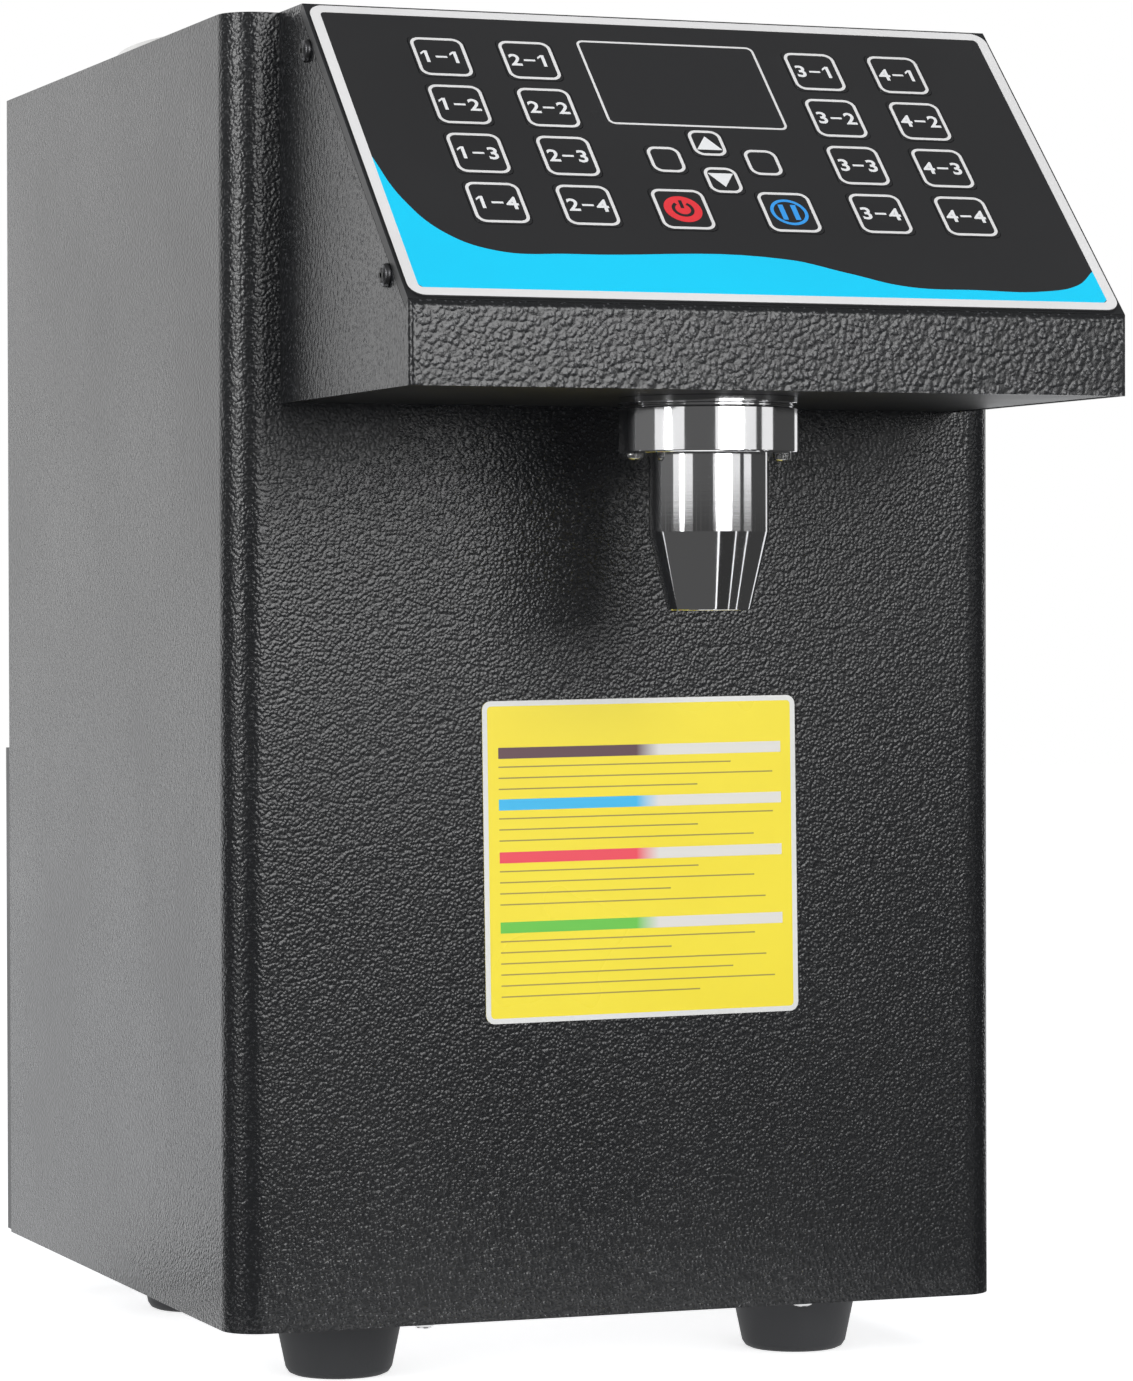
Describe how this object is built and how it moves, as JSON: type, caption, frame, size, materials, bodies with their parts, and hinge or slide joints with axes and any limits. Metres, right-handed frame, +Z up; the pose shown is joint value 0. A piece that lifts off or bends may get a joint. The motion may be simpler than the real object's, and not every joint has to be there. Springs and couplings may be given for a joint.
{
  "type": "fructose dispenser",
  "caption": "Tabletop syrup dispenser: upright cabinet with a lidded steel tank, a hood with a sloping keypad over a chrome nozzle, and a geared pump.",
  "frame": {"origin": "bottom centre of the bounding box, on the plane of the feet", "axes": "+X to the machine's right seen from the front, +Y to the back, +Z up"},
  "size_m": [0.27, 0.4256, 0.4634],
  "materials": {
    "black_hammer_paint": "fine hammertone, semi-gloss",
    "black_sheet_paint": "satin powder coat",
    "bare_plate": "zinc-plated sheet, satin",
    "panel_print": "dark printed film, satin",
    "key_film": "dark film key with a pale outline",
    "display_lens": "dark gloss lens",
    "label_print": "yellow printed plate",
    "chrome": "polished",
    "stainless": "spun stainless, brushed",
    "steel": "machined",
    "silicone": "translucent silicone",
    "black_rubber": "moulded, matte",
    "black_plastic": "moulded, satin",
    "board": "circuit board",
    "aluminium": "satin",
    "screw_steel": "nickel-plated",
    "cable": "soft cable sheath",
    "heater": "silicone heater pad"
  },
  "bodies": {
    "cabinet": {"body_shell": "black_hammer_paint", "top_panel": "black_hammer_paint", "rear_panel": "black_sheet_paint", "rear_cover": "black_sheet_paint", "base_plate": "bare_plate", "hood_shell": "black_hammer_paint", "hood_floor": "black_sheet_paint", "control_plate": "black_sheet_paint", "printed_panel": "panel_print", "display_window": "display_lens", "key_board": "board", "nozzle_collar": "chrome", "nozzle_body": "chrome", "drip_valve": "silicone", "tank": "stainless", "tank_gasket": "silicone", "outlet_fitting": "steel", "outlet_nut": "steel", "heater_pad": "heater", "pump_housing": "aluminium", "pump_cover": "aluminium", "pump_bracket": "bare_plate", "pump_motor": "black_plastic", "suction_hose": "silicone", "delivery_hose": "silicone", "power_supply": "aluminium", "main_board": "board", "power_inlet": "black_plastic", "switch_housing": "black_plastic", "feet": "black_rubber", "wiring": "cable", "label_plate": "label_print", "screws": "screw_steel"},
    "lid": {"tank_lid": "stainless", "lid_knob": "black_plastic"},
    "drive": {"drive_gear": "steel"},
    "driven": {"driven_gear": "steel"},
    "rocker": {"rocker": "black_plastic"},
    "key_1_1": {"key_1_1": "key_film"},
    "key_1_2": {"key_1_2": "key_film"},
    "key_1_3": {"key_1_3": "key_film"},
    "key_1_4": {"key_1_4": "key_film"},
    "key_2_1": {"key_2_1": "key_film"},
    "key_2_2": {"key_2_2": "key_film"},
    "key_2_3": {"key_2_3": "key_film"},
    "key_2_4": {"key_2_4": "key_film"},
    "key_3_1": {"key_3_1": "key_film"},
    "key_3_2": {"key_3_2": "key_film"},
    "key_3_3": {"key_3_3": "key_film"},
    "key_3_4": {"key_3_4": "key_film"},
    "key_4_1": {"key_4_1": "key_film"},
    "key_4_2": {"key_4_2": "key_film"},
    "key_4_3": {"key_4_3": "key_film"},
    "key_4_4": {"key_4_4": "key_film"},
    "key_up": {"key_up": "key_film"},
    "key_down": {"key_down": "key_film"},
    "key_set": {"key_set": "key_film"},
    "key_save": {"key_save": "key_film"},
    "key_power": {"key_power": "key_film"},
    "key_pause": {"key_pause": "key_film"}
  },
  "joints": [
    {"name": "lid_lift", "type": "slide", "parent": "cabinet", "child": "lid", "axis": [0, 0, 1], "range_m": [0, 0.15]},
    {"name": "rocker_tip", "type": "hinge", "parent": "cabinet", "child": "rocker", "pos_m": [0.04, 0.20627, 0.0671], "axis": [1, 0, 0], "range_deg": [0, 24]},
    {"name": "drive_spin", "type": "hinge", "parent": "cabinet", "child": "drive", "pos_m": [-0.045, -0.01323, 0.0771], "axis": [0, 1, 0], "continuous": true},
    {"name": "driven_spin", "type": "hinge", "parent": "cabinet", "child": "driven", "pos_m": [-0.045, -0.01323, 0.0953], "axis": [0, 1, 0], "continuous": true},
    {"name": "key_1_1_press", "type": "slide", "parent": "cabinet", "child": "key_1_1", "axis": [0, 0.6954, -0.7186], "range_m": [0, 0.0004], "stiffness_N_per_m": 600, "springref_m": -0.001},
    {"name": "key_1_2_press", "type": "slide", "parent": "cabinet", "child": "key_1_2", "axis": [0, 0.6954, -0.7186], "range_m": [0, 0.0004], "stiffness_N_per_m": 600, "springref_m": -0.001},
    {"name": "key_1_3_press", "type": "slide", "parent": "cabinet", "child": "key_1_3", "axis": [0, 0.6954, -0.7186], "range_m": [0, 0.0004], "stiffness_N_per_m": 600, "springref_m": -0.001},
    {"name": "key_1_4_press", "type": "slide", "parent": "cabinet", "child": "key_1_4", "axis": [0, 0.6954, -0.7186], "range_m": [0, 0.0004], "stiffness_N_per_m": 600, "springref_m": -0.001},
    {"name": "key_2_1_press", "type": "slide", "parent": "cabinet", "child": "key_2_1", "axis": [0, 0.6954, -0.7186], "range_m": [0, 0.0004], "stiffness_N_per_m": 600, "springref_m": -0.001},
    {"name": "key_2_2_press", "type": "slide", "parent": "cabinet", "child": "key_2_2", "axis": [0, 0.6954, -0.7186], "range_m": [0, 0.0004], "stiffness_N_per_m": 600, "springref_m": -0.001},
    {"name": "key_2_3_press", "type": "slide", "parent": "cabinet", "child": "key_2_3", "axis": [0, 0.6954, -0.7186], "range_m": [0, 0.0004], "stiffness_N_per_m": 600, "springref_m": -0.001},
    {"name": "key_2_4_press", "type": "slide", "parent": "cabinet", "child": "key_2_4", "axis": [0, 0.6954, -0.7186], "range_m": [0, 0.0004], "stiffness_N_per_m": 600, "springref_m": -0.001},
    {"name": "key_3_1_press", "type": "slide", "parent": "cabinet", "child": "key_3_1", "axis": [0, 0.6954, -0.7186], "range_m": [0, 0.0004], "stiffness_N_per_m": 600, "springref_m": -0.001},
    {"name": "key_3_2_press", "type": "slide", "parent": "cabinet", "child": "key_3_2", "axis": [0, 0.6954, -0.7186], "range_m": [0, 0.0004], "stiffness_N_per_m": 600, "springref_m": -0.001},
    {"name": "key_3_3_press", "type": "slide", "parent": "cabinet", "child": "key_3_3", "axis": [0, 0.6954, -0.7186], "range_m": [0, 0.0004], "stiffness_N_per_m": 600, "springref_m": -0.001},
    {"name": "key_3_4_press", "type": "slide", "parent": "cabinet", "child": "key_3_4", "axis": [0, 0.6954, -0.7186], "range_m": [0, 0.0004], "stiffness_N_per_m": 600, "springref_m": -0.001},
    {"name": "key_4_1_press", "type": "slide", "parent": "cabinet", "child": "key_4_1", "axis": [0, 0.6954, -0.7186], "range_m": [0, 0.0004], "stiffness_N_per_m": 600, "springref_m": -0.001},
    {"name": "key_4_2_press", "type": "slide", "parent": "cabinet", "child": "key_4_2", "axis": [0, 0.6954, -0.7186], "range_m": [0, 0.0004], "stiffness_N_per_m": 600, "springref_m": -0.001},
    {"name": "key_4_3_press", "type": "slide", "parent": "cabinet", "child": "key_4_3", "axis": [0, 0.6954, -0.7186], "range_m": [0, 0.0004], "stiffness_N_per_m": 600, "springref_m": -0.001},
    {"name": "key_4_4_press", "type": "slide", "parent": "cabinet", "child": "key_4_4", "axis": [0, 0.6954, -0.7186], "range_m": [0, 0.0004], "stiffness_N_per_m": 600, "springref_m": -0.001},
    {"name": "key_up_press", "type": "slide", "parent": "cabinet", "child": "key_up", "axis": [0, 0.6954, -0.7186], "range_m": [0, 0.0004], "stiffness_N_per_m": 600, "springref_m": -0.001},
    {"name": "key_down_press", "type": "slide", "parent": "cabinet", "child": "key_down", "axis": [0, 0.6954, -0.7186], "range_m": [0, 0.0004], "stiffness_N_per_m": 600, "springref_m": -0.001},
    {"name": "key_set_press", "type": "slide", "parent": "cabinet", "child": "key_set", "axis": [0, 0.6954, -0.7186], "range_m": [0, 0.0004], "stiffness_N_per_m": 600, "springref_m": -0.001},
    {"name": "key_save_press", "type": "slide", "parent": "cabinet", "child": "key_save", "axis": [0, 0.6954, -0.7186], "range_m": [0, 0.0004], "stiffness_N_per_m": 600, "springref_m": -0.001},
    {"name": "key_power_press", "type": "slide", "parent": "cabinet", "child": "key_power", "axis": [0, 0.6954, -0.7186], "range_m": [0, 0.0004], "stiffness_N_per_m": 600, "springref_m": -0.001},
    {"name": "key_pause_press", "type": "slide", "parent": "cabinet", "child": "key_pause", "axis": [0, 0.6954, -0.7186], "range_m": [0, 0.0004], "stiffness_N_per_m": 600, "springref_m": -0.001}
  ],
  "couplings": [
    {"joint": "driven_spin", "follows": "drive_spin", "ratio": -1}
  ]
}
